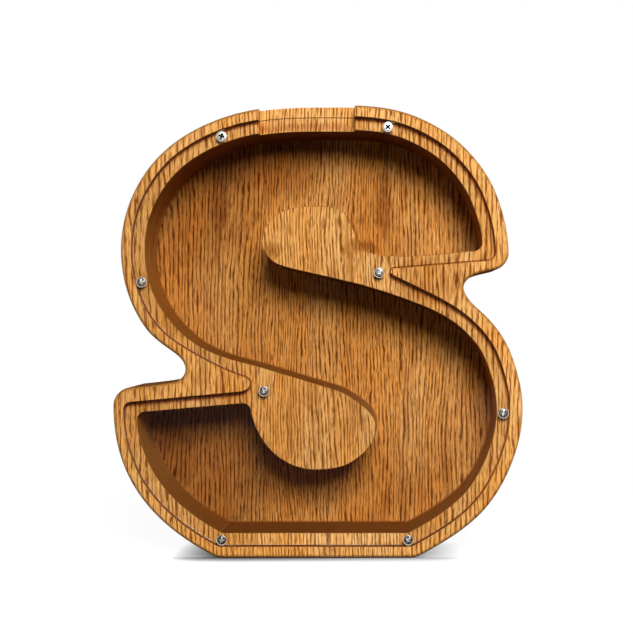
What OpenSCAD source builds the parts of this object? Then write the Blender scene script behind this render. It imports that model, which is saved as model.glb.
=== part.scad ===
// Money box in the shape of a letter: a solid oak block with a curving coin
// channel, closed by a clear cover that is let in flush and held by screws.
// X runs to the right, Y to the back and Z up; the origin is the middle of the base.

/* [Letter] */
// Height of the letter
letter_h = 210; // [190:1:235]
// Width of the letter
letter_w = 190; // [172:1:212]
// Thickness of the block, front to back
block_t = 40; // [34:1:55]
// Radius of the eased outer edges
arris_r = 1.8; // [0.8:0.1:2.4]
// Radius of the outer corner at the end of each arm
outer_corner_r = 8.5; // [6:0.1:10]

/* [Boards] */
// Width of the middle board between its two glue joints
middle_board_w = 66; // [56:1:74]
// Distance of the middle board's centre from the centre of the letter
middle_board_x = 5; // [-4:0.5:8]

/* [Rim and ledge] */
// Width of the rim round the cover
rim_w = 5.4; // [4.6:0.1:6.5]
// Width of the ledge that carries the cover
ledge_w = 6; // [5.4:0.1:7.5]
// Width of the ledge along the two arms
arm_ledge_w = 5.2; // [4.6:0.1:6]
// Radius of the inner corners
inner_corner_r = 3.8; // [2.5:0.1:5]
// Sideways shift of the milled recesses against the outline
milling_x = -0.6; // [-1:0.1:1]
// Thickness of the back wall
back_t = 5.5; // [3:0.5:10]

/* [Money slot] */
// Width of the slot
slot_w = 44.6; // [30:0.2:50]
// Distance of the slot's centre from the centre of the letter
slot_x = -5.2; // [-8:0.2:4]
// Height of the gap behind the cover
slot_gap = 5; // [3:0.2:8]
// Radius at the foot of the slot's side walls
slot_foot_r = 1.6; // [0.5:0.1:2.4]

/* [Cover] */
// Thickness of the clear cover
cover_t = 3; // [2:0.1:4]
// Depth of the cover's face below the rim
cover_recess = 0.2; // [0:0.1:0.8]
// Gap between the cover's edge and the rim
cover_gap = 0.45; // [0.2:0.05:0.6]

/* [Screws] */
// Diameter of the flat screw head
head_d = 4.3; // [4:0.1:4.4]
// Height of the head's straight edge
head_edge = 0.15; // [0.05:0.05:0.2]
// Diameter of the screw's shank
shank_d = 2.2; // [1.8:0.1:2.4]
// Length of the screw from its face to its point
screw_l = 12.7; // [10:0.1:16]
// Length of the screw's point
point_l = 2.4; // [1.5:0.1:3.5]
// Diameter of the countersink in the cover
countersink_d = 4.9; // [4.9:0.1:5.4]
// Diameter of the screw hole in the cover
hole_d = 2.8; // [2.6:0.1:3]
// Gap between the head's cone and the countersink, measured outward
seat_gap = 0.08; // [0.04:0.01:0.1]
// Gap all round between the shank and its pilot hole
pilot_gap = 0.04; // [0.02:0.01:0.08]
// Depth of the pilot hole below the screw's point
pilot_spare = 1; // [0.5:0.1:2]
// Width of each arm of the cross recess
cross_w = 0.55; // [0.4:0.05:0.7]
// Span of the cross recess
cross_span = 2.5; // [2:0.1:2.7]
// Depth of the cross recess
cross_depth = 0.9; // [0.6:0.05:1]

/* [Hidden] */

oak = [0.72, 0.45, 0.2];
clear = [0.85, 0.92, 0.95, 0.35];
steel = [0.75, 0.76, 0.78];

$fn = 48;
// Most that the outline turns between two of its points, in degrees
turn_step = 6;
// Steps in each quarter round of an eased edge
arris_steps = 2;
// Spare length of a cutter past the face that it opens
spare = 1;

front_y = -block_t / 2;
back_y = block_t / 2;
pocket_d = cover_t + cover_recess;
ledge_y = front_y + pocket_d;
cover_y = front_y + cover_recess;
floor_y = back_y - back_t;
slot_floor_y = ledge_y + slot_gap;
head_sink = (countersink_d - head_d) / 2 - head_edge - seat_gap;
head_y = cover_y + head_sink;
left_joint_x = middle_board_x - middle_board_w / 2;
right_joint_x = middle_board_x + middle_board_w / 2;

// The letter is drawn on a sheet of this width and height. Each row is a knot:
// x, z and the heading in degrees with which the outline passes it, the wood on its left.
sheet = [190, 210];
upper_bowl = [[83.5, 167, 110], [68.5, 190, 135], [45, 205, 158], [12, 210, 180],
              [-45, 204, 200], [-76, 184, 229], [-91.5, 143, 270], [-80, 106.5, 306]];
lower_bowl = [[-88, 38, 296], [-71.5, 16.5, 318], [-50.5, 2, 332], [-44, 0, 0], [42, 0, 0],
              [49.5, 2.2, 29], [73.5, 18.5, 43], [89, 41.5, 67], [95, 69, 90], [89.5, 95, 111],
              [75.5, 114.5, 138]];
right_arm_end = [88.3, 148, 92];
left_arm_end = [-95, 66, 270];

// Where the outline dips in between an arm and its bowl
left_dip = [[-67, 95.3, 324], [-61.6, 87.5, 270], [-66.5, 81.8, 192]];
left_arm_top = [-78, 80, 186];
right_dip = [[68.7, 122, 118], [67.6, 125.7, 85], [72.5, 131, 22]];
right_arm_foot = [77, 132.3, 14];

// Where the recess for the cover runs up each notch of the letter and back
left_notch = [[-58, 95.5, 330], [-36, 85, 342], [-30.8, 80.7, 266], [-36, 77, 186]];
left_notch_arm = [-63, 74.3, 185];
right_notch = [[48.3, 124.9, 154], [36, 130.8, 152], [34.3, 132.8, 85], [36, 134.3, 5]];
right_notch_arm = [53, 135.7, 4.6];

// Walls of the two islands that the channel winds round, from the bowl to the arm
lower_island = [[-54.5, 98, 330], [-26.5, 88.5, 345], [1.6, 80, 343], [14.7, 75, 326],
                [27.3, 60, 268], [18, 45.4, 216], [-1, 40.7, 180], [-16.2, 45.4, 147],
                [-28, 59.5, 115]];
lower_island_end = [-30.2, 66, 104];
upper_island = [[48.3, 117.4, 158], [20.3, 126.8, 164], [-7.8, 133.3, 165], [-21.4, 138.4, 138],
                [-25.5, 146.5, 90], [-17, 160.4, 28], [-1, 163.2, 0], [10, 161.8, 335],
                [16.5, 153, 292], [21, 144.3, 312], [32, 140.2, 355]];

// Places on the outer edge that have a screw on the ledge behind them
crown_left = [-47, 203.3, 201];
crown_right = [35, 208, 167];
left_side = [-89.3, 126, 283];
right_side = [95, 67, 89];
base_left = [-44, 0, 0];
base_right = [42.5, 0, 0];
// Places of the screws at the tips of the two notches
upper_tip = [29, 132.3, 0];
lower_tip = [-24.3, 77.4, 0];

// ---- Outline functions ----

function heading_vector(a) = [cos(a), sin(a)];
function left_vector(a) = [-sin(a), cos(a)];
function spot(k) = [k.x, k.y];

// Knots of the sheet at the size of the letter
function fit(k) =
    let (sx = letter_w / sheet.x, sz = letter_h / sheet.y)
    [k.x * sx, k.y * sz, atan2(sin(k.z) * sz, cos(k.z) * sx)];
function fit_all(list) = [for (k = list) fit(k)];

// A knot moved into the wood by d
function inset(k, d) =
    let (p = spot(k) + d * left_vector(k.z))
    [p.x, p.y, k.z];
function inset_all(list, d) = [for (k = list) inset(k, d)];

// Signed angle from one heading to another
function turn(from, to) = let (d = to - from) atan2(sin(d), cos(d));

// The two knots of a corner of radius r between the line through a and the line through b
function corner(a, b, r) =
    let (u = heading_vector(a.z), v = heading_vector(b.z),
         meet = spot(a) + cross(spot(b) - spot(a), v) / cross(u, v) * u,
         back = r * tan(turn(a.z, b.z) / 2),
         p = meet - back * u,
         q = meet + back * v)
    [[p.x, p.y, a.z], [q.x, q.y, b.z]];

// Handle length that makes the cubic between two knots follow an arc
function handle(a, b) =
    let (t = abs(turn(a.z, b.z)), chord = norm(spot(b) - spot(a)))
    t < 1 ? chord / 3 : chord * 2 / 3 * tan(t / 4) / sin(t / 2);

// Points and headings from knot a up to, but without, knot b
function stretch(a, b) =
    let (h = handle(a, b),
         p0 = spot(a),
         p1 = p0 + h * heading_vector(a.z),
         p3 = spot(b),
         p2 = p3 - h * heading_vector(b.z),
         along = atan2(p3.y - p0.y, p3.x - p0.x),
         sweep = abs(turn(a.z, along)) + abs(turn(along, b.z)),
         n = max(1, ceil(sweep / turn_step)))
    [for (i = [0 : n - 1])
        let (t = i / n, s = 1 - t,
             p = s * s * s * p0 + 3 * s * s * t * p1 + 3 * s * t * t * p2 + t * t * t * p3,
             d = s * s * (p1 - p0) + 2 * s * t * (p2 - p1) + t * t * (p3 - p2))
        [p.x, p.y, atan2(d.y, d.x)]];

// The whole closed line through a ring of knots
function trace(knots) =
    [for (i = [0 : len(knots) - 1]) each stretch(knots[i], knots[(i + 1) % len(knots)])];
function spots(line) = [for (k = line) spot(k)];

// ---- The three outlines ----

outer_line = trace(concat(
    fit_all(upper_bowl),
    fit_all(left_dip),
    corner(fit(left_arm_top), fit(left_arm_end), outer_corner_r),
    fit_all(lower_bowl),
    fit_all(right_dip),
    corner(fit(right_arm_foot), fit(right_arm_end), outer_corner_r)));

function pocket_line(gap) = trace(concat(
    inset_all(fit_all(upper_bowl), rim_w + gap),
    inset_all(fit_all(left_notch), gap),
    corner(inset(fit(left_notch_arm), gap), inset(fit(left_arm_end), rim_w + gap), inner_corner_r),
    inset_all(fit_all(lower_bowl), rim_w + gap),
    inset_all(fit_all(right_notch), gap),
    corner(inset(fit(right_notch_arm), gap), inset(fit(right_arm_end), rim_w + gap),
           inner_corner_r)));

wall_w = rim_w + ledge_w;
lower_arm_wall = inset(fit(left_notch_arm), arm_ledge_w);
upper_arm_wall = inset(fit(right_notch_arm), arm_ledge_w);
cavity_line = trace(concat(
    inset_all(fit_all(upper_bowl), wall_w),
    fit_all(lower_island),
    corner(fit(lower_island_end), lower_arm_wall, inner_corner_r),
    corner(lower_arm_wall, inset(fit(left_arm_end), wall_w), inner_corner_r),
    inset_all(fit_all(lower_bowl), wall_w),
    fit_all(upper_island),
    corner(upper_arm_wall, inset(fit(right_arm_end), wall_w), inner_corner_r)));

function ledge_spot(k) = spot(inset(fit(k), rim_w + ledge_w / 2));

// ---- Building blocks ----

// A plate standing in the plane of the letter, from y0 back to y1
module plate(y0, y1) {
    translate([0, y1, 0]) rotate([90, 0, 0]) linear_extrude(y1 - y0) children();
}

// Section [inset, depth] of the cutter that rounds an outer edge of the block
function arris_section() =
    concat([[-spare, arris_r], [-spare, -spare], [arris_r, -spare]],
           [for (i = [0 : arris_steps]) let (a = 90 * i / arris_steps)
               [arris_r * (1 - sin(a)), arris_r * (1 - cos(a))]]);

// Cutter that rounds the front edge: its section swept round the outer line
module arris_cut() {
    section = arris_section();
    m = len(section);
    n = len(outer_line);
    points = [for (k = outer_line) each
        [for (s = section) let (p = inset(k, s[0])) [p.x, front_y + s[1], p.y]]];
    faces = [for (i = [0 : n - 1]) each
        [for (j = [0 : m - 1]) let (i2 = (i + 1) % n, j2 = (j + 1) % m)
            [i * m + j, i * m + j2, i2 * m + j2, i2 * m + j]]];
    polyhedron(points, faces);
}

// The letter as a solid block with its outer edges eased
module letter_block() {
    difference() {
        plate(front_y, back_y) polygon(spots(outer_line));
        arris_cut();
        mirror([0, 1, 0]) arris_cut();
    }
}

module at_milling() {
    translate([milling_x, 0, 0]) children();
}

module at_screw(place) {
    at_milling() translate([place.x, head_y, place.y]) rotate([-90, 0, 0]) children();
}

screw_places = [ledge_spot(crown_left), ledge_spot(crown_right), ledge_spot(left_side),
                ledge_spot(right_side), spot(fit(upper_tip)), spot(fit(lower_tip)),
                ledge_spot(base_left), ledge_spot(base_right)];

// Cutter for the money slot: open at the top and the front, its side walls rounded at the foot
module slot_cut() {
    low_z = letter_h - 2 * wall_w;
    translate([slot_x, 0, low_z]) linear_extrude(letter_h - low_z + spare)
        difference() {
            translate([-slot_w / 2, front_y - spare])
                square([slot_w, slot_floor_y - front_y + spare]);
            for (side = [-1, 1])
                translate([side * slot_w / 2, slot_floor_y])
                    difference() {
                        square(2 * slot_foot_r, center = true);
                        translate([-side * slot_foot_r, -slot_foot_r]) circle(slot_foot_r);
                    }
        }
}

module pilot_hole() {
    cylinder(d = shank_d + 2 * pilot_gap, h = screw_l + pilot_spare);
}

// The whole oak body, before it is parted into its boards
module body() {
    difference() {
        letter_block();
        at_milling() plate(front_y - spare, ledge_y) polygon(spots(pocket_line(0)));
        at_milling() plate(front_y - spare, floor_y) polygon(spots(cavity_line));
        slot_cut();
        for (place = screw_places) at_screw(place) pilot_hole();
    }
}

// The part of the body between two upright planes
module board(x0, x1) {
    color(oak) intersection() {
        body();
        translate([x0, front_y - spare, -spare])
            cube([x1 - x0, block_t + 2 * spare, letter_h + 2 * spare]);
    }
}

// ---- Pieces ----

module left_stave() {
    board(-letter_w, left_joint_x);
}

module middle_stave() {
    board(left_joint_x, right_joint_x);
}

module right_stave() {
    board(right_joint_x, letter_w);
}

module cover() {
    cone_h = (countersink_d - hole_d) / 2;
    color(clear) difference() {
        at_milling() plate(cover_y, ledge_y) polygon(spots(pocket_line(cover_gap)));
        for (place = screw_places) at_screw(place) translate([0, 0, -head_sink]) {
            translate([0, 0, -spare]) cylinder(d = hole_d, h = cover_t + 2 * spare);
            cylinder(d1 = countersink_d, d2 = hole_d, h = cone_h);
        }
    }
}

module screw(place) {
    cone_end = head_edge + (head_d - shank_d) / 2;
    color(steel) at_screw(place) difference() {
        rotate_extrude() polygon([[0, 0], [head_d / 2, 0], [head_d / 2, head_edge],
                                  [shank_d / 2, cone_end], [shank_d / 2, screw_l - point_l],
                                  [0, screw_l]]);
        intersection() {
            for (a = [0, 90]) rotate(a)
                translate([-cross_span / 2, -cross_w / 2, -spare])
                    cube([cross_span, cross_w, spare + cross_depth]);
            translate([0, 0, -spare])
                cylinder(d1 = cross_span + spare, d2 = cross_w, h = spare + cross_depth);
        }
    }
}

left_stave();
middle_stave();
right_stave();
cover();
screw(screw_places[0]);  // screw_crown_left
screw(screw_places[1]);  // screw_crown_right
screw(screw_places[2]);  // screw_left_bowl
screw(screw_places[3]);  // screw_right_bowl
screw(screw_places[4]);  // screw_upper_notch
screw(screw_places[5]);  // screw_lower_notch
screw(screw_places[6]);  // screw_base_left
screw(screw_places[7]);  // screw_base_right
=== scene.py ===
"""Looks of the wooden money box: milled oak boards, a clear let-in cover and its screws."""

import math

import bmesh
import bpy
import numpy as np
from mathutils import Matrix, Vector

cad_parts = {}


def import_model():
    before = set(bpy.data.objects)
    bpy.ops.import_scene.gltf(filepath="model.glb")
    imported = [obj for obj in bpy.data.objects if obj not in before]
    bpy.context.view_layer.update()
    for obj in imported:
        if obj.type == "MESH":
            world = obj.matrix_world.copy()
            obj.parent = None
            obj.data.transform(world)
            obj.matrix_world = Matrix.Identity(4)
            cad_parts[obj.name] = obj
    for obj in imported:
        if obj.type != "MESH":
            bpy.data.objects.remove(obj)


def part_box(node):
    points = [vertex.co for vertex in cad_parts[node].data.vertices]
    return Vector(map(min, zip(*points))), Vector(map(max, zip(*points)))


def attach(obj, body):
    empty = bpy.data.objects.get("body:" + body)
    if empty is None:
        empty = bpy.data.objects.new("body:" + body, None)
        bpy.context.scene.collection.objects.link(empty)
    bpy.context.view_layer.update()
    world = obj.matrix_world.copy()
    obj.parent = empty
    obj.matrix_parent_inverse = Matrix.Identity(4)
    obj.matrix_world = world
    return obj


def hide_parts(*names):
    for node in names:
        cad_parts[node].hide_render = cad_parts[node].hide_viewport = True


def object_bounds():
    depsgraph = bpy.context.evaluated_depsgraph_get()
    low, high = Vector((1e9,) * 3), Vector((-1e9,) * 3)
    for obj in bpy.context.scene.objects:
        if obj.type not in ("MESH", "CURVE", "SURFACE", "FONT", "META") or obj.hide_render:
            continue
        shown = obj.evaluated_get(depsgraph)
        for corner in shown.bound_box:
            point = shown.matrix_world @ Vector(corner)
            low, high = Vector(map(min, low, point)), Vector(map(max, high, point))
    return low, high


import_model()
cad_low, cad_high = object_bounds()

MM = 0.001

# ---- Sizes, in millimetres, as in the CAD model ----

FRONT, BACK = cad_low.y / MM, cad_high.y / MM
COVER_T = 3.0
COVER_RECESS = 0.2
COVER_GAP = 0.45
COVER_EDGE = 0.15  # bevel round the sheet
COVER_LIFT = 0.03  # keeps the sheet's lower face clear of the wood that it rests on
LEDGE = FRONT + COVER_T + COVER_RECESS
COVER_FACE = FRONT + COVER_RECESS
FLOOR = BACK - 5.5
RIM_W = 5.4
LEDGE_W = 6.0
ARM_LEDGE_W = 5.2
WALL_W = RIM_W + LEDGE_W
OUTER_CORNER_R = 8.5
INNER_CORNER_R = 3.8
MILLING_X = -0.6
SLOT_W, SLOT_X = 44.6, -5.2
SLOT_FLOOR = LEDGE + 5
SLOT_FOOT_R = 1.6
SLOT_LOW_Z = 187.0
ARRIS_R = 1.8
LIP_R = 0.35  # eased inner edges
COVE_R = 1.1  # round that the router leaves at the foot of the channel's walls

HEAD_D, HEAD_EDGE = 4.3, 0.15
SHANK_D, ROOT_D = 2.2, 1.6
SCREW_L, POINT_L = 12.7, 2.4
PLAIN_L = 3.6  # shank without thread below the head
PITCH = 0.95
THREAD_HALF_W = 0.32  # half the width of a thread's foot, as a share of the pitch
POINT_ROUNDING = 0.8  # power of the point's taper, with 1 for a plain cone
CONE_END, PLAIN_SHANK = 0.92, 0.9  # shares of the shank's radius
NECK_L, TIP_L = 0.2, 0.05  # from the head's cone to the shank, and from the shank to its tip
COUNTERSINK_D, HOLE_D = 4.9, 2.8
PILOT_GAP = 0.08
PILOT_D = SHANK_D + PILOT_GAP

TURN_STEP = 2.5  # most that an outline turns between two points, in degrees
ROUND_STEPS = 5  # steps in each quarter round
SPARE = 1.0  # how far a cutter reaches past the face that it opens
TRIM_REACH = 10 * MM  # how far a board's trimming box stands out past the block, in metres
SCREW_SEGMENTS, SHANK_RINGS = 36, 96
PILOT_SEGMENTS, HOLE_SEGMENTS = 24, 40

# The screws' cross: depth, reach of its arms and half their width, past the face and at its foot
CROSS_MOUTH = (-SPARE, 2.1, 0.7)
CROSS_FOOT = (1.15, 0.62, 0.2)
CROSS_DEPTH = 1.4
CROSS_REACH = 1.7  # the walls of the cross lie within this distance of the axis
CROSS_WALL = (0.02, 1.3)  # and between these depths

# Knots of the outlines: x, z and the heading in degrees
UPPER_BOWL = [
    (83.5, 167, 110), (68.5, 190, 135), (45, 205, 158), (12, 210, 180),
    (-45, 204, 200), (-76, 184, 229), (-91.5, 143, 270), (-80, 106.5, 306),
]
LOWER_BOWL = [
    (-88, 38, 296), (-71.5, 16.5, 318), (-50.5, 2, 332), (-44, 0, 0), (42, 0, 0),
    (49.5, 2.2, 29), (73.5, 18.5, 43), (89, 41.5, 67), (95, 69, 90), (89.5, 95, 111),
    (75.5, 114.5, 138),
]
RIGHT_ARM_END = (88.3, 148, 92)
LEFT_ARM_END = (-95, 66, 270)
LEFT_DIP = [(-67, 95.3, 324), (-61.6, 87.5, 270), (-66.5, 81.8, 192)]
LEFT_ARM_TOP = (-78, 80, 186)
RIGHT_DIP = [(68.7, 122, 118), (67.6, 125.7, 85), (72.5, 131, 22)]
RIGHT_ARM_FOOT = (77, 132.3, 14)
LEFT_NOTCH = [(-58, 95.5, 330), (-36, 85, 342), (-30.8, 80.7, 266), (-36, 77, 186)]
LEFT_NOTCH_ARM = (-63, 74.3, 185)
RIGHT_NOTCH = [(48.3, 124.9, 154), (36, 130.8, 152), (34.3, 132.8, 85), (36, 134.3, 5)]
RIGHT_NOTCH_ARM = (53, 135.7, 4.6)
LOWER_ISLAND = [
    (-54.5, 98, 330), (-26.5, 88.5, 345), (1.6, 80, 343), (14.7, 75, 326), (27.3, 60, 268),
    (18, 45.4, 216), (-1, 40.7, 180), (-16.2, 45.4, 147), (-28, 59.5, 115),
]
LOWER_ISLAND_END = (-30.2, 66, 104)
UPPER_ISLAND = [
    (48.3, 117.4, 158), (20.3, 126.8, 164), (-7.8, 133.3, 165), (-21.4, 138.4, 138),
    (-25.5, 146.5, 90), (-17, 160.4, 28), (-1, 163.2, 0), (10, 161.8, 335),
    (16.5, 153, 292), (21, 144.3, 312), (32, 140.2, 355),
]

SCREWS = {  # how far each screw is turned, in degrees
    "screw_crown_left": 20,
    "screw_crown_right": 47,
    "screw_left_bowl": 75,
    "screw_right_bowl": 10,
    "screw_upper_notch": 33,
    "screw_lower_notch": 62,
    "screw_base_left": 5,
    "screw_base_right": 38,
}

# ---- Outlines ----


def heading(angle):
    """Unit vector of a heading in degrees."""
    a = math.radians(angle)
    return np.array((math.cos(a), math.sin(a)))


def inset(knots, d):
    """Rows of x, z, heading moved to the left of their headings by d."""
    k = np.atleast_2d(np.array(knots, float))
    a = np.radians(k[:, 2] + 90)
    return np.c_[k[:, 0] + d * np.cos(a), k[:, 1] + d * np.sin(a), k[:, 2]]


def turn(a, b):
    """Signed angle from one heading to another."""
    return (b - a + 900) % 360 - 180


def corner(a, b, r):
    """The two knots of a corner of radius r between the lines through a and b."""
    a, b = np.ravel(a), np.ravel(b)
    u, v = heading(a[2]), heading(b[2])
    gap = b[:2] - a[:2]
    meet = a[:2] + (gap[0] * v[1] - gap[1] * v[0]) / (u[0] * v[1] - u[1] * v[0]) * u
    back = r * math.tan(math.radians(turn(a[2], b[2]) / 2))
    return [(*(meet - back * u), a[2]), (*(meet + back * v), b[2])]


def stretch(a, b):
    """Points with headings from knot a up to, but without, knot b."""
    bend, chord = abs(turn(a[2], b[2])), np.linalg.norm(b[:2] - a[:2])
    reach = chord / 3
    if bend >= 1:  # the handles that make an even turn a true arc
        quarter_bend, half_bend = math.radians(bend / 4), math.radians(bend / 2)
        reach = chord * 2 / 3 * math.tan(quarter_bend) / math.sin(half_bend)
    p0, p3 = a[:2], b[:2]
    p1, p2 = p0 + reach * heading(a[2]), p3 - reach * heading(b[2])
    along = math.degrees(math.atan2(p3[1] - p0[1], p3[0] - p0[0]))
    sweep = abs(turn(a[2], along)) + abs(turn(along, b[2]))
    n = max(1, math.ceil(sweep / TURN_STEP))
    t = (np.arange(n) / n)[:, None]
    s = 1 - t
    p = s**3 * p0 + 3 * s * s * t * p1 + 3 * s * t * t * p2 + t**3 * p3
    d = s * s * (p1 - p0) + 2 * s * t * (p2 - p1) + t * t * (p3 - p2)
    return np.c_[p, np.degrees(np.arctan2(d[:, 1], d[:, 0]))]


def trace(*parts):
    """The closed line through a ring of knots."""
    knots = np.concatenate([np.atleast_2d(np.array(p, float)) for p in parts])
    return np.concatenate([stretch(k, m) for k, m in zip(knots, np.roll(knots, -1, axis=0))])


OUTER_LINE = trace(
    UPPER_BOWL,
    LEFT_DIP,
    corner(LEFT_ARM_TOP, LEFT_ARM_END, OUTER_CORNER_R),
    LOWER_BOWL,
    RIGHT_DIP,
    corner(RIGHT_ARM_FOOT, RIGHT_ARM_END, OUTER_CORNER_R),
)
POCKET_LINE = trace(
    inset(UPPER_BOWL, RIM_W),
    LEFT_NOTCH,
    corner(LEFT_NOTCH_ARM, inset(LEFT_ARM_END, RIM_W), INNER_CORNER_R),
    inset(LOWER_BOWL, RIM_W),
    RIGHT_NOTCH,
    corner(RIGHT_NOTCH_ARM, inset(RIGHT_ARM_END, RIM_W), INNER_CORNER_R),
)
LOWER_ARM_WALL = inset(LEFT_NOTCH_ARM, ARM_LEDGE_W)
UPPER_ARM_WALL = inset(RIGHT_NOTCH_ARM, ARM_LEDGE_W)
CAVITY_LINE = trace(
    inset(UPPER_BOWL, WALL_W),
    LOWER_ISLAND,
    corner(LOWER_ISLAND_END, LOWER_ARM_WALL, INNER_CORNER_R),
    corner(LOWER_ARM_WALL, inset(LEFT_ARM_END, WALL_W), INNER_CORNER_R),
    inset(LOWER_BOWL, WALL_W),
    UPPER_ISLAND,
    corner(UPPER_ARM_WALL, inset(RIGHT_ARM_END, WALL_W), INNER_CORNER_R),
)

# ---- Mesh making ----


def new_object(name, mesh):
    piece = bpy.data.objects.new(name, mesh)
    bpy.context.scene.collection.objects.link(piece)
    return piece


def closed_mesh(name, points, faces):
    """A mesh from points in millimetres, with its normals turned outward."""
    mesh = bpy.data.meshes.new(name)
    mesh.from_pydata([Vector(p) * MM for p in points], [], faces)
    bm = bmesh.new()
    bm.from_mesh(mesh)
    bmesh.ops.recalc_face_normals(bm, faces=bm.faces)
    bm.to_mesh(mesh)
    bm.free()
    return mesh


def ring_faces(rings, count):
    """Quads between neighbouring rings of count points each."""
    faces = []
    for r in range(rings - 1):
        for i in range(count):
            j = (i + 1) % count
            faces.append((r * count + i, r * count + j, (r + 1) * count + j, (r + 1) * count + i))
    return faces


def loft(name, line, section, shift=0.0):
    """A closed block round a line: section lists (y, inset) from its front to its back."""
    points = []
    for y, d in section:
        points += [(x + shift, y, z) for x, z, _ in inset(line, d)]
    n = len(line)
    last = (len(section) - 1) * n
    caps = [tuple(range(n)), tuple(range(last, last + n))]
    return new_object(name, closed_mesh(name, points, ring_faces(len(section), n) + caps))


def quarter(steps=ROUND_STEPS):
    """Angles of a quarter round, from 0 to 90 degrees."""
    return [math.radians(90 * i / steps) for i in range(steps + 1)]


def lip(y, r):
    """Section of an eased edge that starts r out in the face at y and ends r below it."""
    return [(y + r * (1 - math.cos(a)), -r * (1 - math.sin(a))) for a in quarter()]


def spindle(name, front, rings, end):
    """A closed shape about Y between two points of its axis. Each ring is a depth and a list of
    radii, one for each segment."""
    segments = len(rings[0][1])
    points = [(0, front, 0)]
    for y, radii in rings:
        for i, r in enumerate(radii):
            a = 2 * math.pi * i / segments
            points.append((r * math.cos(a), y, r * math.sin(a)))
    points.append((0, end, 0))
    faces = [tuple(v + 1 for v in f) for f in ring_faces(len(rings), segments)]
    tip, base = len(points) - 1, 1 + (len(rings) - 1) * segments
    for i in range(segments):
        j = (i + 1) % segments
        faces += [(0, 1 + i, 1 + j), (tip, base + j, base + i)]
    return new_object(name, closed_mesh(name, points, faces))


def lathe(name, profile, segments):
    """A closed turned shape about Y: profile lists (y, radius), its ends on the axis."""
    rings = [(y, [r] * segments) for y, r in profile[1:-1]]
    return spindle(name, profile[0][0], rings, profile[-1][0])


def bake(piece):
    """Puts the result of the piece's modifiers into its mesh."""
    graph = bpy.context.evaluated_depsgraph_get()
    mesh = bpy.data.meshes.new_from_object(piece.evaluated_get(graph))
    old = piece.data
    piece.modifiers.clear()
    piece.data = mesh
    bpy.data.meshes.remove(old)


def combine(piece, other, operation="DIFFERENCE"):
    """Cuts or trims the piece with another one, which is used up."""
    change = piece.modifiers.new("combine", "BOOLEAN")
    change.operation = operation
    change.solver = "MANIFOLD"
    change.object = other
    bake(piece)
    bpy.data.objects.remove(other)


def join(name, parts):
    """One object from several closed ones that stay apart."""
    bm = bmesh.new()
    for part in parts:
        part.data.transform(part.matrix_basis)
        bm.from_mesh(part.data)
        bpy.data.objects.remove(part)
    mesh = bpy.data.meshes.new(name)
    bm.to_mesh(mesh)
    bm.free()
    return new_object(name, mesh)


def smooth(piece, sharp_angle=32):
    """Smooth shading with hard edges above an angle in degrees; large flat faces stay flat."""
    mesh = piece.data
    mesh.shade_smooth()
    mesh.set_sharp_from_angle(angle=math.radians(sharp_angle))
    weight = piece.modifiers.new("weight", "WEIGHTED_NORMAL")
    weight.weight = 100
    weight.keep_sharp = True


# ---- Pieces ----


def screw_place(node):
    """Middle of a screw's head on its axis, in millimetres."""
    low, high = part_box(node)
    return Vector(((low.x + high.x) / 2, low.y, (low.z + high.z) / 2)) / MM


def at(piece, place):
    """The piece, moved to a place in millimetres."""
    piece.matrix_basis = Matrix.Translation(Vector(place) * MM)
    return piece


def slot_cutter():
    """The money slot: open at the top and the front, rounded at the foot of its sides."""
    half = SLOT_W / 2
    side = [(half + LIP_R, FRONT - SPARE)]
    side += [(half - d, y) for y, d in lip(FRONT, LIP_R)]
    foot = [
        (half - SLOT_FOOT_R * (1 - math.cos(a)), SLOT_FLOOR - SLOT_FOOT_R * (1 - math.sin(a)))
        for a in quarter()
    ]
    side += foot
    section = side + [(-x, y) for x, y in reversed(side)]
    n = len(section)
    levels = (SLOT_LOW_Z, cad_high.z / MM + SPARE)
    points = [(x + SLOT_X, y, z) for z in levels for x, y in section]
    caps = [tuple(range(n)), tuple(range(n, 2 * n))]
    return new_object("slot", closed_mesh("slot", points, ring_faces(2, n) + caps))


def milled_block():
    """The whole oak body, before it is parted into its boards."""
    arris = [(ARRIS_R * (1 - math.cos(a)), ARRIS_R * (1 - math.sin(a))) for a in quarter()]
    front = [(FRONT + y, d) for y, d in arris]
    back = [(BACK - y, d) for y, d in reversed(arris)]
    block = loft("block", OUTER_LINE, front + back)
    pocket = [(FRONT - SPARE, -LIP_R)] + lip(FRONT, LIP_R) + [(LEDGE, 0)]
    combine(block, loft("pocket", POCKET_LINE, pocket, MILLING_X))
    cove = [(FLOOR - COVE_R * (1 - math.sin(a)), COVE_R * (1 - math.cos(a))) for a in quarter()]
    cavity = [(FRONT - SPARE, -LIP_R)] + lip(LEDGE, LIP_R) + cove
    combine(block, loft("cavity", CAVITY_LINE, cavity, MILLING_X))
    combine(block, slot_cutter())
    profile = [(0, 0), (0, PILOT_D / 2), (SCREW_L, PILOT_D / 2), (SCREW_L + SPARE, 0)]
    bores = [at(lathe("bore", profile, PILOT_SEGMENTS), screw_place(node)) for node in SCREWS]
    combine(block, join("bores", bores))
    return block


def trimming_box(node):
    """A box that ends at the board's glue joints and stands out past the block elsewhere."""
    low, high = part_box(node)
    left = -TRIM_REACH if node == "left_stave" else 0
    right = TRIM_REACH if node == "right_stave" else 0
    corners = [
        (x / MM, y / MM, z / MM)
        for x in (low.x + left, high.x + right)
        for y in (low.y - TRIM_REACH, high.y + TRIM_REACH)
        for z in (low.z - TRIM_REACH, high.z + TRIM_REACH)
    ]
    faces = [(0, 1, 3, 2), (4, 6, 7, 5), (0, 4, 5, 1), (2, 3, 7, 6), (0, 2, 6, 4), (1, 5, 7, 3)]
    return new_object("trim", closed_mesh("trim", corners, faces))


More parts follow.
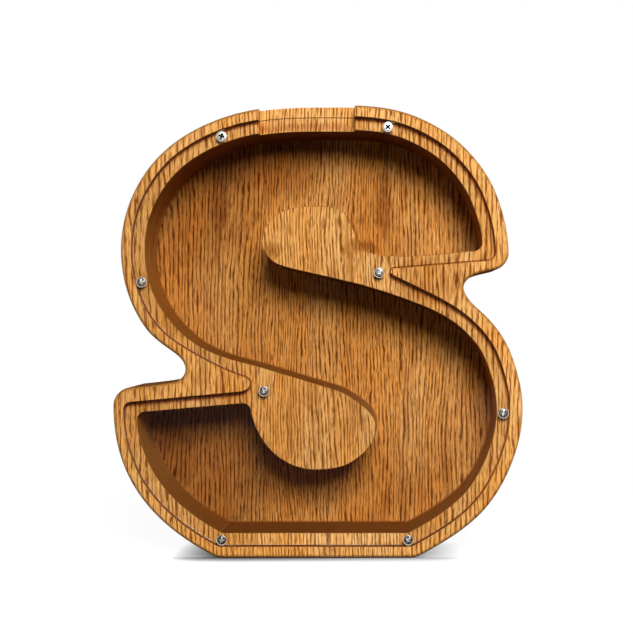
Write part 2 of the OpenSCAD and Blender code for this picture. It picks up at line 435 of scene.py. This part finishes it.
def boards():
    """The three glued boards, each cut from the block at the CAD model's glue joints."""
    block = milled_block()
    made = {}
    for node in BOARD_LOOKS:
        stave = new_object(node + "_oak", block.data.copy())
        combine(stave, trimming_box(node), "INTERSECT")
        smooth(stave)
        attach(stave, "box")
        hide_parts(node)
        made[node] = stave
    bpy.data.objects.remove(block)
    return made


def clear_cover():
    """The clear sheet with its countersunk holes."""
    line = inset(POCKET_LINE, COVER_GAP)
    foot = LEDGE - COVER_LIFT
    section = [
        (COVER_FACE, COVER_EDGE),
        (COVER_FACE + COVER_EDGE, 0),
        (foot - COVER_EDGE / 2, 0),
        (foot, COVER_EDGE / 2),
    ]
    sheet = loft("cover_sheet", line, section, MILLING_X)
    profile = [
        (-SPARE, 0),
        (-SPARE, COUNTERSINK_D / 2 + SPARE),
        ((COUNTERSINK_D - HOLE_D) / 2, HOLE_D / 2),
        (COVER_T + SPARE, HOLE_D / 2),
        (COVER_T + SPARE, 0),
    ]
    holes = []
    for node in SCREWS:
        place = screw_place(node)
        place.y = COVER_FACE
        holes.append(at(lathe("hole", profile, HOLE_SEGMENTS), place))
    combine(sheet, join("holes", holes))
    smooth(sheet)
    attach(sheet, "cover")
    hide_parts("cover")
    return sheet


def thread_radius(y, angle):
    """Radius of the threaded shank at a depth below the face and an angle about the axis."""
    phase = (y / PITCH - angle / (2 * math.pi)) % 1
    crest = max(0.0, 1 - abs(phase - 0.5) / THREAD_HALF_W)
    start = min(1.0, max(0.0, (y - PLAIN_L) / PITCH))
    end = max(0.0, min(1.0, (SCREW_L - y) / POINT_L))
    return (ROOT_D / 2 + (SHANK_D - ROOT_D) / 2 * crest * start) * end**POINT_ROUNDING


def recess_cutter():
    """The tapered cross that the driver fits."""
    points = []
    for y, reach, half in (CROSS_MOUTH, CROSS_FOOT):
        arm = [(reach, -half), (reach, half), (half, half)]
        for quarter_turn in range(4):
            a = math.radians(90 * quarter_turn)
            points += [
                (p * math.cos(a) - q * math.sin(a), y, p * math.sin(a) + q * math.cos(a))
                for p, q in arm
            ]
    n = len(points) // 2
    points.append((0, CROSS_DEPTH, 0))
    faces = ring_faces(2, n) + [tuple(range(n))]
    faces += [(n + i, n + (i + 1) % n, 2 * n) for i in range(n)]
    return new_object("cross", closed_mesh("cross", points, faces))


def screw_mesh():
    """A flat-head wood screw along +Y, its face at y 0."""
    cone_end = HEAD_EDGE + (HEAD_D - SHANK_D) / 2
    head = [  # depth and radius: the face with its worn edge, then the cone
        (0, HEAD_D / 2 - 1.0),
        (0, HEAD_D / 2 - 0.42),
        (0.04, HEAD_D / 2 - 0.18),
        (0.1, HEAD_D / 2 - 0.04),
        (HEAD_EDGE, HEAD_D / 2),
        (cone_end, SHANK_D / 2 * CONE_END),
    ]
    rings = [(y, [r] * SCREW_SEGMENTS) for y, r in head]
    shank_l = SCREW_L - cone_end - (NECK_L + TIP_L)
    angles = [2 * math.pi * i / SCREW_SEGMENTS for i in range(SCREW_SEGMENTS)]
    for k in range(SHANK_RINGS + 1):
        y = cone_end + NECK_L + shank_l * k / SHANK_RINGS
        plain = SHANK_D / 2 * PLAIN_SHANK if y < PLAIN_L else 0
        rings.append((y, [max(plain, thread_radius(y, a)) for a in angles]))
    blank = spindle("screw_blank", 0, rings, SCREW_L)
    combine(blank, recess_cutter())
    mesh = blank.data
    bpy.data.objects.remove(blank)
    return mesh


def screws():
    """The eight screws, each with its cross turned its own way."""
    mesh = screw_mesh()
    made = []
    for node, roll in SCREWS.items():
        screw = new_object(node + "_steel", mesh.copy())
        turned = Matrix.Rotation(math.radians(roll), 4, "Y")
        screw.data.transform(Matrix.Translation(screw_place(node) * MM) @ turned)
        screw["node"] = node
        smooth(screw, sharp_angle=40)
        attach(screw, node)
        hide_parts(node)
        made.append(screw)
    return made


# ---- Faces of each material ----

LOOKS_BACK, LOOKS_SQUARE = 0.3, 0.95  # the Y part of a face's normal, from which it does so
SKIN = 0.1  # how near a surface a face has to lie, in millimetres


def dress(piece, *materials):
    """Gives the piece its materials, one in each slot."""
    piece.data.materials.clear()
    for material in materials:
        piece.data.materials.append(material)


def mark_crosses(screw, slot_index):
    """Gives the walls of the cross their own material slot. They look inward or forward, and
    the head's cone behind them looks back."""
    middle = screw_place(screw["node"]) * MM
    top, bottom = CROSS_WALL
    for face in screw.data.polygons:
        away = math.hypot(face.center.x - middle.x, face.center.z - middle.z)
        within = away < CROSS_REACH * MM and top * MM < face.center.y - middle.y < bottom * MM
        if within and face.normal.y < LOOKS_BACK:
            face.material_index = slot_index


def inside(line, x, z):
    """Whether a point lies within a closed line, by counting the edges to its right."""
    a, b = line[:, :2], np.roll(line[:, :2], -1, axis=0)
    spans = (a[:, 1] > z) != (b[:, 1] > z)
    a, b = a[spans], b[spans]
    crossings = a[:, 0] + (z - a[:, 1]) / (b[:, 1] - a[:, 1]) * (b[:, 0] - a[:, 0])
    return np.count_nonzero(x < crossings) % 2


def mark_channel(stave, slot_index):
    """Gives the routed walls and floor of the channel their own material slot."""
    reach = inset(CAVITY_LINE, -SKIN)
    for face in stave.data.polygons:
        x, y, z = face.center / MM
        if LEDGE + LIP_R < y < FLOOR + SKIN and inside(reach, x - MILLING_X, z):
            face.material_index = slot_index


def mark_machined(sheet, holes_slot, edge_slot):
    """Gives the sheet's drilled holes and its sawn edge their own material slots."""
    places = [screw_place(node) * MM for node in SCREWS]
    drilled = (COUNTERSINK_D / 2 + SKIN) * MM
    for face in sheet.data.polygons:
        if abs(face.normal.y) < LOOKS_SQUARE:
            middle = face.center
            near = min(math.hypot(middle.x - p.x, middle.z - p.z) for p in places)
            face.material_index = holes_slot if near < drilled else edge_slot


# ---- Materials ----

WHITE = (1.0, 1.0, 1.0)

# Oak, in millimetres. Waves are a noise's waves per mm in x, y and z, stretched along the grain.
PER_METRE = (1000, 1000, 1000)
SEED_STEP = (37.0, 11.0, 53.0)  # moves each board to another part of the noise
PITH_Y = 110.0  # far behind the boards
RING_WANDER = [  # waves, and how far they move the rings
    ((0.02, 0.02, 0.006), 16.0),
    ((0.16, 0.16, 0.02), 4.0),
    ((0.8, 0.8, 0.15), 1.1),
]
EARLY_WOOD = (0.22, 0.44)  # fades in between these distances from a ring's middle
PORE_SWAY = 0.7  # how far the finest waves move the pores
SINGLE_PORES = (1.7, 1.7, 0.15)
PORE_CORE = (0.1, 0.36)  # a single pore is dark out to the first distance, gone at the second
SINGLE_PORE_DEPTH = 0.8

# Patterns: waves, the levels of the noise between which they fade in, detail and roughness
PORE_BREAKS = ((0.9, 0.9, 0.13), (0.34, 0.55), 2, 0.6)
FIBRES = ((2.6, 2.6, 0.12), (0.42, 0.64), 2, 0.6)
CLOUDS = ((0.045, 0.045, 0.012), (0.34, 0.64), 3, 0.55)
FLAMES = ((0.11, 0.11, 0.018), (0.58, 0.74), 2, 0.5)
CUTTER_MARKS = ((0.05, 1.1, 0.05), (0.35, 0.65), 2, 0.5)
CUTTER_TONES = (0.78, 1.2)  # darkest and lightest mark, as gains

# Figures and patches fade out between two squares of the distance, with 1 at their reach
CURLS = (0.5, 0.5, 0.2)  # waves that make a curly figure's edge ragged
CURL_RAGGED = 1.6  # and how much
CURL_EDGE = (0.7, 1.6)
CURL_FADE = (FLOOR + 1, FLOOR + 4)  # depths between which the figure fades out
CURL_STRENGTH = 0.75
PATCH_EDGE = (0.1, 1.0)
GLUE_LINE = (0.05, 0.22)  # dark out to the first distance, gone at the second

# How far each goes to its darker colour
FIBRE_BROWN, EARLY_BROWN, FLAME_BROWN, WALL_PAINTED_SHADE = 0.55, 0.12, 0.5, 0.3
PORE_DARK, GLUE_DARK, END_DARK = 0.92, 0.6, 0.97
FACE_ON = (0.3, 0.9)  # how squarely a face has to look forward or back, from not at all to fully
SIDE_PORES = 0.35  # share of the pores that shows on the other faces
SHEEN = (0.62, 0.85)  # roughness between the pores and in them

LIGHT_OAK = (0.99, 0.535, 0.170)
HONEY_OAK = (0.95, 0.425, 0.090)
BROWN_OAK = (0.36, 0.110, 0.008)
PORE_BROWN = (0.21, 0.046, 0.0015)
END_GRAIN = (0.22, 0.074, 0.009)
# The channel's colours are painted darker than the outer faces', as shade in the recess, its end
# grain too.
ROUTED_END_GRAIN_SHADED = (0.15, 0.040, 0.002)
ROUTED_PAINTED_SHADE = (0.78, 0.69, 0.56)  # painted shade in the channel: what it leaves of each colour
ROUTED_PORES_SHADED = 0.7  # the pores there are painted darker still, as more shade
PATCH_GREEN, PATCH_BLUE = 1.4, 2.2  # a darker place is a warmer one, by these powers of its gain

PAINTED_LIGHT_BOWL = (45, 78, 34, 46, 1.15)  # painted light on the floor of the lower bowl, across a glue joint
BOARD_LOOKS = {  # figures are x, z and reach in x and z; patches have a gain after them
    "left_stave": {
        "seed": 1,
        "pith_x": -210.0,
        "spacing": 1.75,
        "tone": 0.94,
        "figures": [(-50, 167, 7, 22)],
        "face_tone_and_painted_light": [(-48, 82, 20, 12, 0.88), (-94, 120, 42, 110, 0.86)],
        # painted shade where shadows fall in the channel, with some board tone
        "floor_tone_and_painted_light": [
            (-70, 30, 60, 48, 0.62),
            (-72, 46, 14, 26, 0.75),
            (-72, 170, 48, 48, 0.74),
            (-38, 185, 22, 16, 0.65),
        ],
    },
    "middle_stave": {
        "seed": 2,
        "pith_x": 240.0,
        "spacing": 1.42,
        "tone": 1.0,
        "figures": [(30, 166, 6, 22), (20, 145, 10, 6), (-21, 143, 7, 6)],
        # the patch along the bottom ledge is painted light
        "face_tone_and_painted_light": [(0, 62, 32, 28, 0.9), (-4, 10.5, 70, 6, 1.2)],
        # painted light and painted shade on the channel floor, with some board tone
        "floor_tone_and_painted_light": [
            (-12, 148, 30, 30, 1.12),
            (-26, 190, 40, 27, 0.62),
            (-45, 30, 28, 38, 0.75),
            PAINTED_LIGHT_BOWL,
        ],
    },
    "right_stave": {
        "seed": 3,
        "pith_x": -90.0,
        "spacing": 1.78,
        "tone": 0.98,
        "figures": [],
        "face_tone_and_painted_light": [(50, 128, 30, 14, 0.74)],
        # painted light where the channel's floor is lifted out of shadow
        "floor_tone_and_painted_light": [(62, 162, 26, 30, 1.2), PAINTED_LIGHT_BOWL],
    },
}


class Nodes:
    """Short calls that build the node tree of a new material, or one that is handed in."""

    def __init__(self, name="", tree=None, out="OutputMaterial"):
        if tree is None:
            self.material = bpy.data.materials.new(name)
            self.material.use_nodes = True
            tree = self.material.node_tree
        self.tree = tree
        tree.nodes.clear()
        self.out = self.add(out)

    def add(self, kind, **settings):
        node = self.tree.nodes.new("ShaderNode" + kind)
        for key, value in settings.items():
            setattr(node, key, value)
        return node

    def link(self, source, target):
        self.tree.links.new(source, target)

    def feed(self, socket, value):
        """Links an output, or sets a plain value."""
        if isinstance(value, bpy.types.NodeSocket):
            self.link(value, socket)
        elif socket.type == "RGBA":
            socket.default_value = (*value, 1.0)
        else:
            socket.default_value = value

    def place(self):
        """The place on the object, in metres."""
        return self.add("TexCoord").outputs["Object"]

    def split(self, vector):
        """A vector's X, Y and Z."""
        node = self.add("SeparateXYZ")
        self.link(vector, node.inputs[0])
        return node.outputs

    def math(self, operation, *values, clamp=False):
        node = self.add("Math", operation=operation, use_clamp=clamp)
        for socket, value in zip(node.inputs, values):
            self.feed(socket, value)
        return node.outputs[0]

    def plus(self, a, b):
        return self.math("ADD", a, b)

    def minus(self, a, b):
        return self.math("SUBTRACT", a, b)

    def times(self, a, b):
        return self.math("MULTIPLY", a, b)

    def squares(self, a, b):
        """The sum of two squares."""
        return self.plus(self.math("POWER", a, 2), self.math("POWER", b, 2))

    def scaled(self, vector, scale, location=(0, 0, 0)):
        node = self.add("Mapping")
        self.feed(node.inputs["Vector"], vector)
        node.inputs["Scale"].default_value = scale
        node.inputs["Location"].default_value = location
        return node.outputs[0]

    def sway(self, vector, amount):
        """The vector moved along X."""
        shift = self.add("CombineXYZ")
        self.link(amount, shift.inputs["X"])
        moved = self.add("VectorMath", operation="ADD")
        self.link(vector, moved.inputs[0])
        self.link(shift.outputs[0], moved.inputs[1])
        return moved.outputs[0]

    def noise(self, vector, detail=2.0, roughness=0.5):
        node = self.add("TexNoise", noise_dimensions="3D")
        self.feed(node.inputs["Vector"], vector)
        node.inputs["Scale"].default_value = 1.0
        node.inputs["Detail"].default_value = detail
        node.inputs["Roughness"].default_value = roughness
        return node.outputs["Fac"]

    def pattern(self, vector, waves, fade, detail, roughness, *levels):
        """A noise that fades in between two of its levels, to 0 and 1 or to other levels."""
        return self.remap(self.noise(self.scaled(vector, waves), detail, roughness), *fade, *levels)

    def cells(self, vector):
        """Distance to the nearest of many scattered middles, one in each unit of space."""
        node = self.add("TexVoronoi", voronoi_dimensions="3D", feature="F1")
        self.feed(node.inputs["Vector"], vector)
        node.inputs["Scale"].default_value = 1.0
        return node.outputs["Distance"]

    def remap(self, value, low, high, to_low=0.0, to_high=1.0, smooth=True):
        node = self.add("MapRange", clamp=True)
        node.interpolation_type = "SMOOTHSTEP" if smooth else "LINEAR"
        for socket, v in zip(node.inputs, (value, low, high, to_low, to_high)):
            self.feed(socket, v)
        return node.outputs[0]

    def gain(self, colour, level):
        """The colour made darker or lighter."""
        node = self.add("VectorMath", operation="SCALE")
        self.link(colour, node.inputs[0])
        self.feed(node.inputs["Scale"], level)
        return node.outputs[0]

    def ellipse(self, spot, x, z, reach_x, reach_z):
        """Square of the distance from x, z, with 1 at the given reaches."""
        across = self.math("DIVIDE", self.minus(spot["X"], x), reach_x)
        along = self.math("DIVIDE", self.minus(spot["Z"], z), reach_z)
        return self.squares(across, along)

    def mix(self, factor, a, b, blend="MIX"):
        node = self.add("Mix", data_type="RGBA", blend_type=blend)
        self.feed(node.inputs["Factor"], factor)
        self.feed(node.inputs[6], a)
        self.feed(node.inputs[7], b)
        return node.outputs[2]

    def bump(self, height, strength, distance):
        node = self.add("Bump")
        node.inputs["Strength"].default_value = strength
        node.inputs["Distance"].default_value = distance
        self.link(height, node.inputs["Height"])
        return node.outputs[0]

    def shader(self, kind, sockets):
        """A shader with its sockets set to plain values or linked."""
        node = self.add(kind)
        for name, value in sockets.items():
            self.feed(node.inputs[name], value)
        return node.outputs[0]

    def mix_shader(self, factor, a, b):
        node = self.add("MixShader")
        for socket, source in zip(node.inputs, (factor, a, b)):
            self.link(source, socket)
        return node.outputs[0]

    def seen_directly(self):
        """1 for the camera's own rays, and for those that went straight through clear sheet."""
        path = self.add("LightPath")
        straight = self.math("SUBTRACT", 1.0, path.outputs["Glossy Depth"], clamp=True)
        through = self.times(path.outputs["Is Transmission Ray"], straight)
        return self.math("MAXIMUM", path.outputs["Is Camera Ray"], through)

    def finish(self, surface):
        self.link(surface, self.out.inputs["Surface"])


def toned(colour, tone):
    return tuple(c * tone for c in colour)


def ring_pattern(t, mm, spot, pith_x, spacing):
    """The early wood of rings about a pith far behind the board, and the finest of their waves."""
    radius = t.math("SQRT", t.squares(t.minus(spot["X"], pith_x), t.minus(spot["Y"], PITH_Y)))
    for waves, reach in RING_WANDER:
        wave = t.noise(t.scaled(mm, waves))
        radius = t.plus(radius, t.times(wave, reach))
    phase = t.math("FRACT", t.math("DIVIDE", radius, spacing))
    from_middle = t.math("ABSOLUTE", t.minus(phase, 0.5))
    return t.remap(from_middle, *EARLY_WOOD), wave


def pore_pattern(t, grain, early):
    """Long thin pores, most of them in rows along the early wood and a few by themselves."""
    rows = t.times(early, t.pattern(grain, *PORE_BREAKS))
    single = t.minus(1.0, t.remap(t.cells(t.scaled(grain, SINGLE_PORES)), *PORE_CORE))
    return t.math("MAXIMUM", rows, t.times(single, SINGLE_PORE_DEPTH))


def ground_tone(t, mm, grain, early, light, honey, brown):
    """Clouds of two tones, with browner fibres, early wood and flames."""
    colour = t.mix(t.pattern(mm, *CLOUDS), honey, light)
    fibre = t.pattern(grain, *FIBRES)
    flame = t.pattern(mm, *FLAMES)
    for part, amount in ((fibre, FIBRE_BROWN), (early, EARLY_BROWN), (flame, FLAME_BROWN)):
        colour = t.mix(t.times(part, amount), colour, brown)
    return colour


def add_curls(t, colour, mm, spot, figures, brown):
    """Darker curly figure round a few places, gone at the back."""
    strength = t.remap(spot["Y"], *CURL_FADE, CURL_STRENGTH, 0.0)
    for figure in figures:
        ragged = t.noise(t.scaled(mm, CURLS), detail=4, roughness=0.65)
        away = t.plus(t.ellipse(spot, *figure), t.times(ragged, CURL_RAGGED))
        curl = t.minus(1.0, t.remap(away, *CURL_EDGE))
        colour = t.mix(t.times(curl, strength), colour, brown)
    return colour


def add_tone_and_painted_light(t, colour, spot, face_on, patches):
    """Broad darker or lighter places on the faces that look forward or back: board tone, with
    painted shade and painted light.
    """
    for *patch, gain in patches:
        # a darker place is tinted warmer, as painted shade is
        tone_and_shade_tint = (gain, gain**PATCH_GREEN, gain**PATCH_BLUE)
        tone_and_shade_gain = t.mix(t.remap(t.ellipse(spot, *patch), *PATCH_EDGE), tone_and_shade_tint, WHITE)
        colour = t.mix(face_on, colour, t.mix(1.0, colour, tone_and_shade_gain, "MULTIPLY"))
    return colour


def add_glue_lines(t, colour, spot, dark):
    """Thin dark lines where the boards meet."""
    for board in ("left_stave", "middle_stave"):
        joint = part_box(board)[1].x / MM
        away = t.math("ABSOLUTE", t.minus(spot["X"], joint))
        glue = t.minus(1.0, t.remap(away, *GLUE_LINE))
        colour = t.mix(t.times(glue, GLUE_DARK), colour, dark)
    return colour


def oak(name, look, patches, routed=False):
    """Oiled oak with its grain along Z. The routed walls and floor of the channel are painted
    darker, as shade in the recess, and the walls show the cutter's marks."""
    t = Nodes(name)
    spot = t.split(t.scaled(t.place(), PER_METRE))
    mm = t.scaled(t.place(), PER_METRE, toned(SEED_STEP, look["seed"]))
    light, honey, brown, dark = (
        toned(colour, look["tone"]) for colour in (LIGHT_OAK, HONEY_OAK, BROWN_OAK, PORE_BROWN)
    )
    # painted shade: the channel's pores darker
    if routed:
        dark = toned(dark, ROUTED_PORES_SHADED)

    early, wave = ring_pattern(t, mm, spot, look["pith_x"], look["spacing"])
    grain = t.sway(mm, t.times(wave, PORE_SWAY))
    pores = pore_pattern(t, grain, early)
    colour = ground_tone(t, mm, grain, early, light, honey, brown)
    colour = add_curls(t, colour, mm, spot, look["figures"], brown)

    # pores show less on the faces that don't look forward or back
    normal = t.split(t.add("TexCoord").outputs["Normal"])
    square = t.math("ABSOLUTE", normal["Y"])
    face_on = t.remap(square, *FACE_ON)
    open_grain = t.remap(square, *FACE_ON, SIDE_PORES, 1.0)
    colour = t.mix(t.times(t.times(pores, PORE_DARK), open_grain), colour, dark)
    if routed:
        # painted shade in the channel: its floor and walls darker, the walls browner still
        colour = t.mix(1.0, colour, ROUTED_PAINTED_SHADE, "MULTIPLY")
        colour = t.mix(t.minus(WALL_PAINTED_SHADE, t.times(face_on, WALL_PAINTED_SHADE)), colour, brown)
    colour = add_tone_and_painted_light(t, colour, spot, face_on, patches)
    if routed:
        marks = t.pattern(mm, *CUTTER_MARKS, *CUTTER_TONES)
        colour = t.mix(face_on, t.gain(colour, marks), colour)

    # end grain drinks more oil, and its pores hardly show
    ends = t.times(t.math("ABSOLUTE", normal["Z"]), END_DARK)
    # in the channel the end grain is painted darker still, as shade on its walls
    colour = t.mix(ends, colour, ROUTED_END_GRAIN_SHADED if routed else END_GRAIN)
    colour = add_glue_lines(t, colour, spot, dark)

    sunk = t.times(t.times(pores, open_grain), -1.0)
    surface = {
        "Base Color": colour,
        "Roughness": t.remap(pores, 0.0, 1.0, *SHEEN),
        "Normal": t.bump(sunk, strength=0.4, distance=0.15 * MM),
        "Specular IOR Level": 0.1,
    }
    t.finish(t.shader("BsdfPrincipled", surface))
    return t.material


ACRYLIC_IOR = 1.49
PLATE_PATCHES = (1800, 1800, 1800)  # waves per metre in x, y and z
TURNING_MARKS = (9000, 2000, 9000)
DUST = (4000, 4000, 4000)
PLATE_SHEEN = (0.27, 0.36)  # roughness of the plate, from patch to patch
DUST_SHEEN = (0.6, 0.8)


def acrylic(name, tint, roughness, clear_share, passed, gloss=0.5):
    """Clear sheet that lets a share of the lamps' light through to what lies behind it."""
    t = Nodes(name)
    surface = {
        "Base Color": tint,
        "Roughness": roughness,
        "Transmission Weight": clear_share,
        "IOR": ACRYLIC_IOR,
        "Specular IOR Level": gloss,
    }
    glass = t.shader("BsdfPrincipled", surface)
    clear = t.shader("BsdfTransparent", {"Color": passed})
    path = t.add("LightPath").outputs
    through = t.math("MAXIMUM", path["Is Shadow Ray"], path["Is Diffuse Ray"])
    t.finish(t.mix_shader(through, glass, clear))
    return t.material


def zinc_steel(name, dull, bright):
    """Plated steel with fine turning marks and a slightly uneven plate."""
    t = Nodes(name)
    patch = t.noise(t.scaled(t.place(), PLATE_PATCHES), detail=3)
    turning = t.noise(t.scaled(t.place(), TURNING_MARKS))
    surface = {
        "Base Color": t.mix(patch, dull, bright),
        "Metallic": 1.0,
        "Roughness": t.remap(patch, 0.2, 0.8, *PLATE_SHEEN),
        "Normal": t.bump(turning, strength=0.25, distance=0.03 * MM),
    }
    t.finish(t.shader("BsdfPrincipled", surface))
    return t.material


def painted_recess_shade(name):
    """Black painted shade down in the screws' crosses, its roughness patchy like dust."""
    t = Nodes(name)
    dust = t.noise(t.scaled(t.place(), DUST))
    surface = {
        "Base Color": (0.03, 0.028, 0.025),
        "Specular IOR Level": 0.2,
        "Roughness": t.remap(dust, 0.3, 0.7, *DUST_SHEEN),
    }
    t.finish(t.shader("BsdfPrincipled", surface))
    return t.material


# ---- Studio ----

PICTURE_W, PICTURE_H = 633, 634
PIXEL = 0.463 * MM  # size of a pixel in the plane of the box's front
BASE_ROW = 558.3  # pixel row of the base
CENTRE_COLUMN = 317.8  # pixel column of the middle of the box
AXIS_COLUMN, AXIS_ROW = 400.0, 314.0  # pixel that the camera looks straight at
CAMERA_DISTANCE = 0.6
SENSOR = 36.0  # width of the sensor, in millimetres

LAMP_TARGET = (0, 0, 0.1)
LAMPS = {  # place and size in metres, power in watts and colour
    "key": ((0.24, -1.15, 0.73), 0.62, 21.5, (1.0, 0.98, 0.95)),
    "fill": ((-1.3, -1.1, 0.5), 0.8, 0.9, WHITE),
    "back": ((0.7, 1.3, 0.6), 0.9, 12.0, WHITE),
}

FLOOR_REACH = 3.0
FLOOR_GLOW = (0.03, 0.93)  # its own light, from the deepest shadow to the open floor
FLOOR_GREY = (0.02, 0.16)  # and its colour
UNSEEN_GREY, MIRRORED_GREY = 0.08, 0.04  # what other rays find there, and glossy ones
SOFT_LIGHT = 0.004  # strength of the world's light on the box
FLOOR_FADE = (0.16, 0.3)  # the floor turns into plain white between these distances
SHADOW_REACH = 0.011  # how far out from the box the ground shadow goes
SHADOW_SIDES = (-0.05, 0.05)  # between these x, its power changes from left to right
LEFT_POWER, RIGHT_POWER = 1.5, 0.6
SHADOW_TURN = (FRONT * MM - 0.002, FRONT * MM + 0.006)  # and between these y, from front to back
FRONT_POWER, BACK_POWER = 2.3, 0.65


def camera():
    """A level camera square to the box, framed by its shift."""
    data = bpy.data.cameras.new("camera")
    data.sensor_width = SENSOR
    data.lens = SENSOR * CAMERA_DISTANCE / (PIXEL * PICTURE_H)
    data.shift_x = (PICTURE_W / 2 - AXIS_COLUMN) / PICTURE_H
    data.shift_y = (AXIS_ROW - PICTURE_H / 2) / PICTURE_H
    data.clip_start, data.clip_end = 0.01, 20
    eye = bpy.data.objects.new("camera", data)
    bpy.context.scene.collection.objects.link(eye)
    eye.location = (
        (AXIS_COLUMN - CENTRE_COLUMN) * PIXEL,
        FRONT * MM - CAMERA_DISTANCE,
        (BASE_ROW - AXIS_ROW) * PIXEL,
    )
    eye.rotation_euler = (math.pi / 2, 0, 0)
    bpy.context.scene.camera = eye


def lamp(name, place, size, power, colour):
    """A round lamp that shines at the box."""
    data = bpy.data.lights.new(name, "AREA")
    data.shape = "DISK"
    data.size = size
    data.energy = power
    data.color = colour
    light = bpy.data.objects.new(name, data)
    bpy.context.scene.collection.objects.link(light)
    light.location = place
    way = Vector(LAMP_TARGET) - Vector(place)
    light.rotation_euler = way.to_track_quat("-Z", "Y").to_euler()


def grey(level):
    return (level, level, level)


def ground_shadow(t, place):
    """1 on the open floor and less near the box, where the shadow is deeper on its left."""
    near = t.add("AmbientOcclusion", samples=8)
    near.inputs["Distance"].default_value = SHADOW_REACH
    spot = t.split(place)
    behind = t.remap(spot["Y"], *SHADOW_TURN)
    lean = t.remap(spot["X"], *SHADOW_SIDES, LEFT_POWER, RIGHT_POWER)
    power = t.times(lean, t.remap(behind, 0.0, 1.0, FRONT_POWER, BACK_POWER))
    return t.math("POWER", near.outputs["AO"], power)


def white_floor():
    """White near the box with its shadow, and plain white further off. Rays that the camera
    doesn't see directly find a darker floor, so that it throws little light back."""
    t = Nodes("floor_white")
    place = t.place()
    length = t.add("VectorMath", operation="LENGTH")
    t.link(place, length.inputs[0])
    far = t.remap(length.outputs["Value"], *FLOOR_FADE)
    shade = ground_shadow(t, place)
    tone = t.mix(shade, *map(grey, FLOOR_GREY))
    glow = t.remap(shade, 0.0, 1.0, *FLOOR_GLOW, smooth=False)
    lit = t.add("AddShader")
    t.link(t.shader("BsdfDiffuse", {"Color": tone}), lit.inputs[0])
    t.link(t.shader("Emission", {"Strength": glow}), lit.inputs[1])
    white = t.shader("Emission", {"Color": WHITE, "Strength": 1.0})
    seen = t.mix_shader(far, lit.outputs[0], white)
    shine = t.add("LightPath").outputs["Is Glossy Ray"]
    dim = t.mix(shine, grey(UNSEEN_GREY), grey(MIRRORED_GREY))
    plain = t.shader("BsdfDiffuse", {"Color": dim})
    t.finish(t.mix_shader(t.seen_directly(), plain, seen))
    return t.material


def floor():
    """The ground that the box stands on."""
    mesh = bpy.data.meshes.new("floor")
    r = FLOOR_REACH
    mesh.from_pydata([(-r, -r, 0), (r, -r, 0), (r, r, 0), (-r, r, 0)], [], [(0, 1, 2, 3)])
    ground = new_object("floor", mesh)
    dress(ground, white_floor())


def world():
    """White behind the box for the eye, dim soft light for everything else."""
    studio_world = bpy.data.worlds.new("studio")
    bpy.context.scene.world = studio_world
    studio_world.use_nodes = True
    t = Nodes(tree=studio_world.node_tree, out="OutputWorld")
    soft = t.shader("Background", {"Color": WHITE, "Strength": SOFT_LIGHT})
    white = t.shader("Background", {"Color": WHITE, "Strength": 1.0})
    t.finish(t.mix_shader(t.seen_directly(), soft, white))


def studio():
    """The camera, the ground, the world and the lamps."""
    bpy.context.scene.view_settings.view_transform = "Standard"
    camera()
    floor()
    world()
    for name, settings in LAMPS.items():
        lamp(name, *settings)


# ---- Making ----


def make_boards():
    """The boards, with painted shade in the channel."""
    for node, stave in boards().items():
        look = BOARD_LOOKS[node]
        plain = oak("oak_" + node, look, look["face_tone_and_painted_light"])
        milled = oak("channel_" + node, look, look["floor_tone_and_painted_light"], routed=True)
        dress(stave, plain, milled)
        mark_channel(stave, 1)


def make_cover():
    """The sheet, with pale drilled holes tinted cream as a painted reflection of the wood, and its
    sawn edge painted dark maroon as the shade in the gap round it.
    """
    sheet = clear_cover()
    clear = acrylic("acrylic_clear", (0.985, 0.99, 0.99), 0.0, 1.0, grey(0.96))
    # pale frosted drilled holes; their cream tint is a painted reflection of the wood
    machined = acrylic("acrylic_machined", (0.92, 0.80, 0.66), 0.4, 0.25, grey(0.15))
    # painted shade: the sawn edge dark maroon, and the light it lets through tinted maroon
    edge = acrylic("acrylic_edge_painted_shade", (0.10, 0.022, 0.006), 0.5, 0.3, (0.55, 0.25, 0.15), gloss=0.1)
    dress(sheet, clear, machined, edge)
    mark_machined(sheet, 1, 2)


def make_screws():
    """Two screws at the crown painted bright, as lit, with painted shade in their crosses, and six
    painted dark, as shaded, with bright steel crosses.
    """
    # painted light and shade: the crown heads bright as if lit, the others dark as if shaded
    steel_painted_lit = zinc_steel("steel_painted_lit", (0.70, 0.71, 0.72), (0.88, 0.88, 0.87))
    steel_painted_shaded = zinc_steel("steel_painted_shaded", (0.22, 0.19, 0.17), (0.36, 0.33, 0.30))
    bare_cross = zinc_steel("bare_cross", (0.70, 0.69, 0.68), (0.88, 0.87, 0.86))
    # painted shade: black in the crown screws' crosses
    painted_cross_shade = painted_recess_shade("cross_painted_shade")
    for screw in screws():
        if "crown" in screw["node"]:
            dress(screw, steel_painted_lit, painted_cross_shade)
        else:
            dress(screw, steel_painted_shaded, bare_cross)
        mark_crosses(screw, 1)


studio()
make_boards()
make_cover()
make_screws()
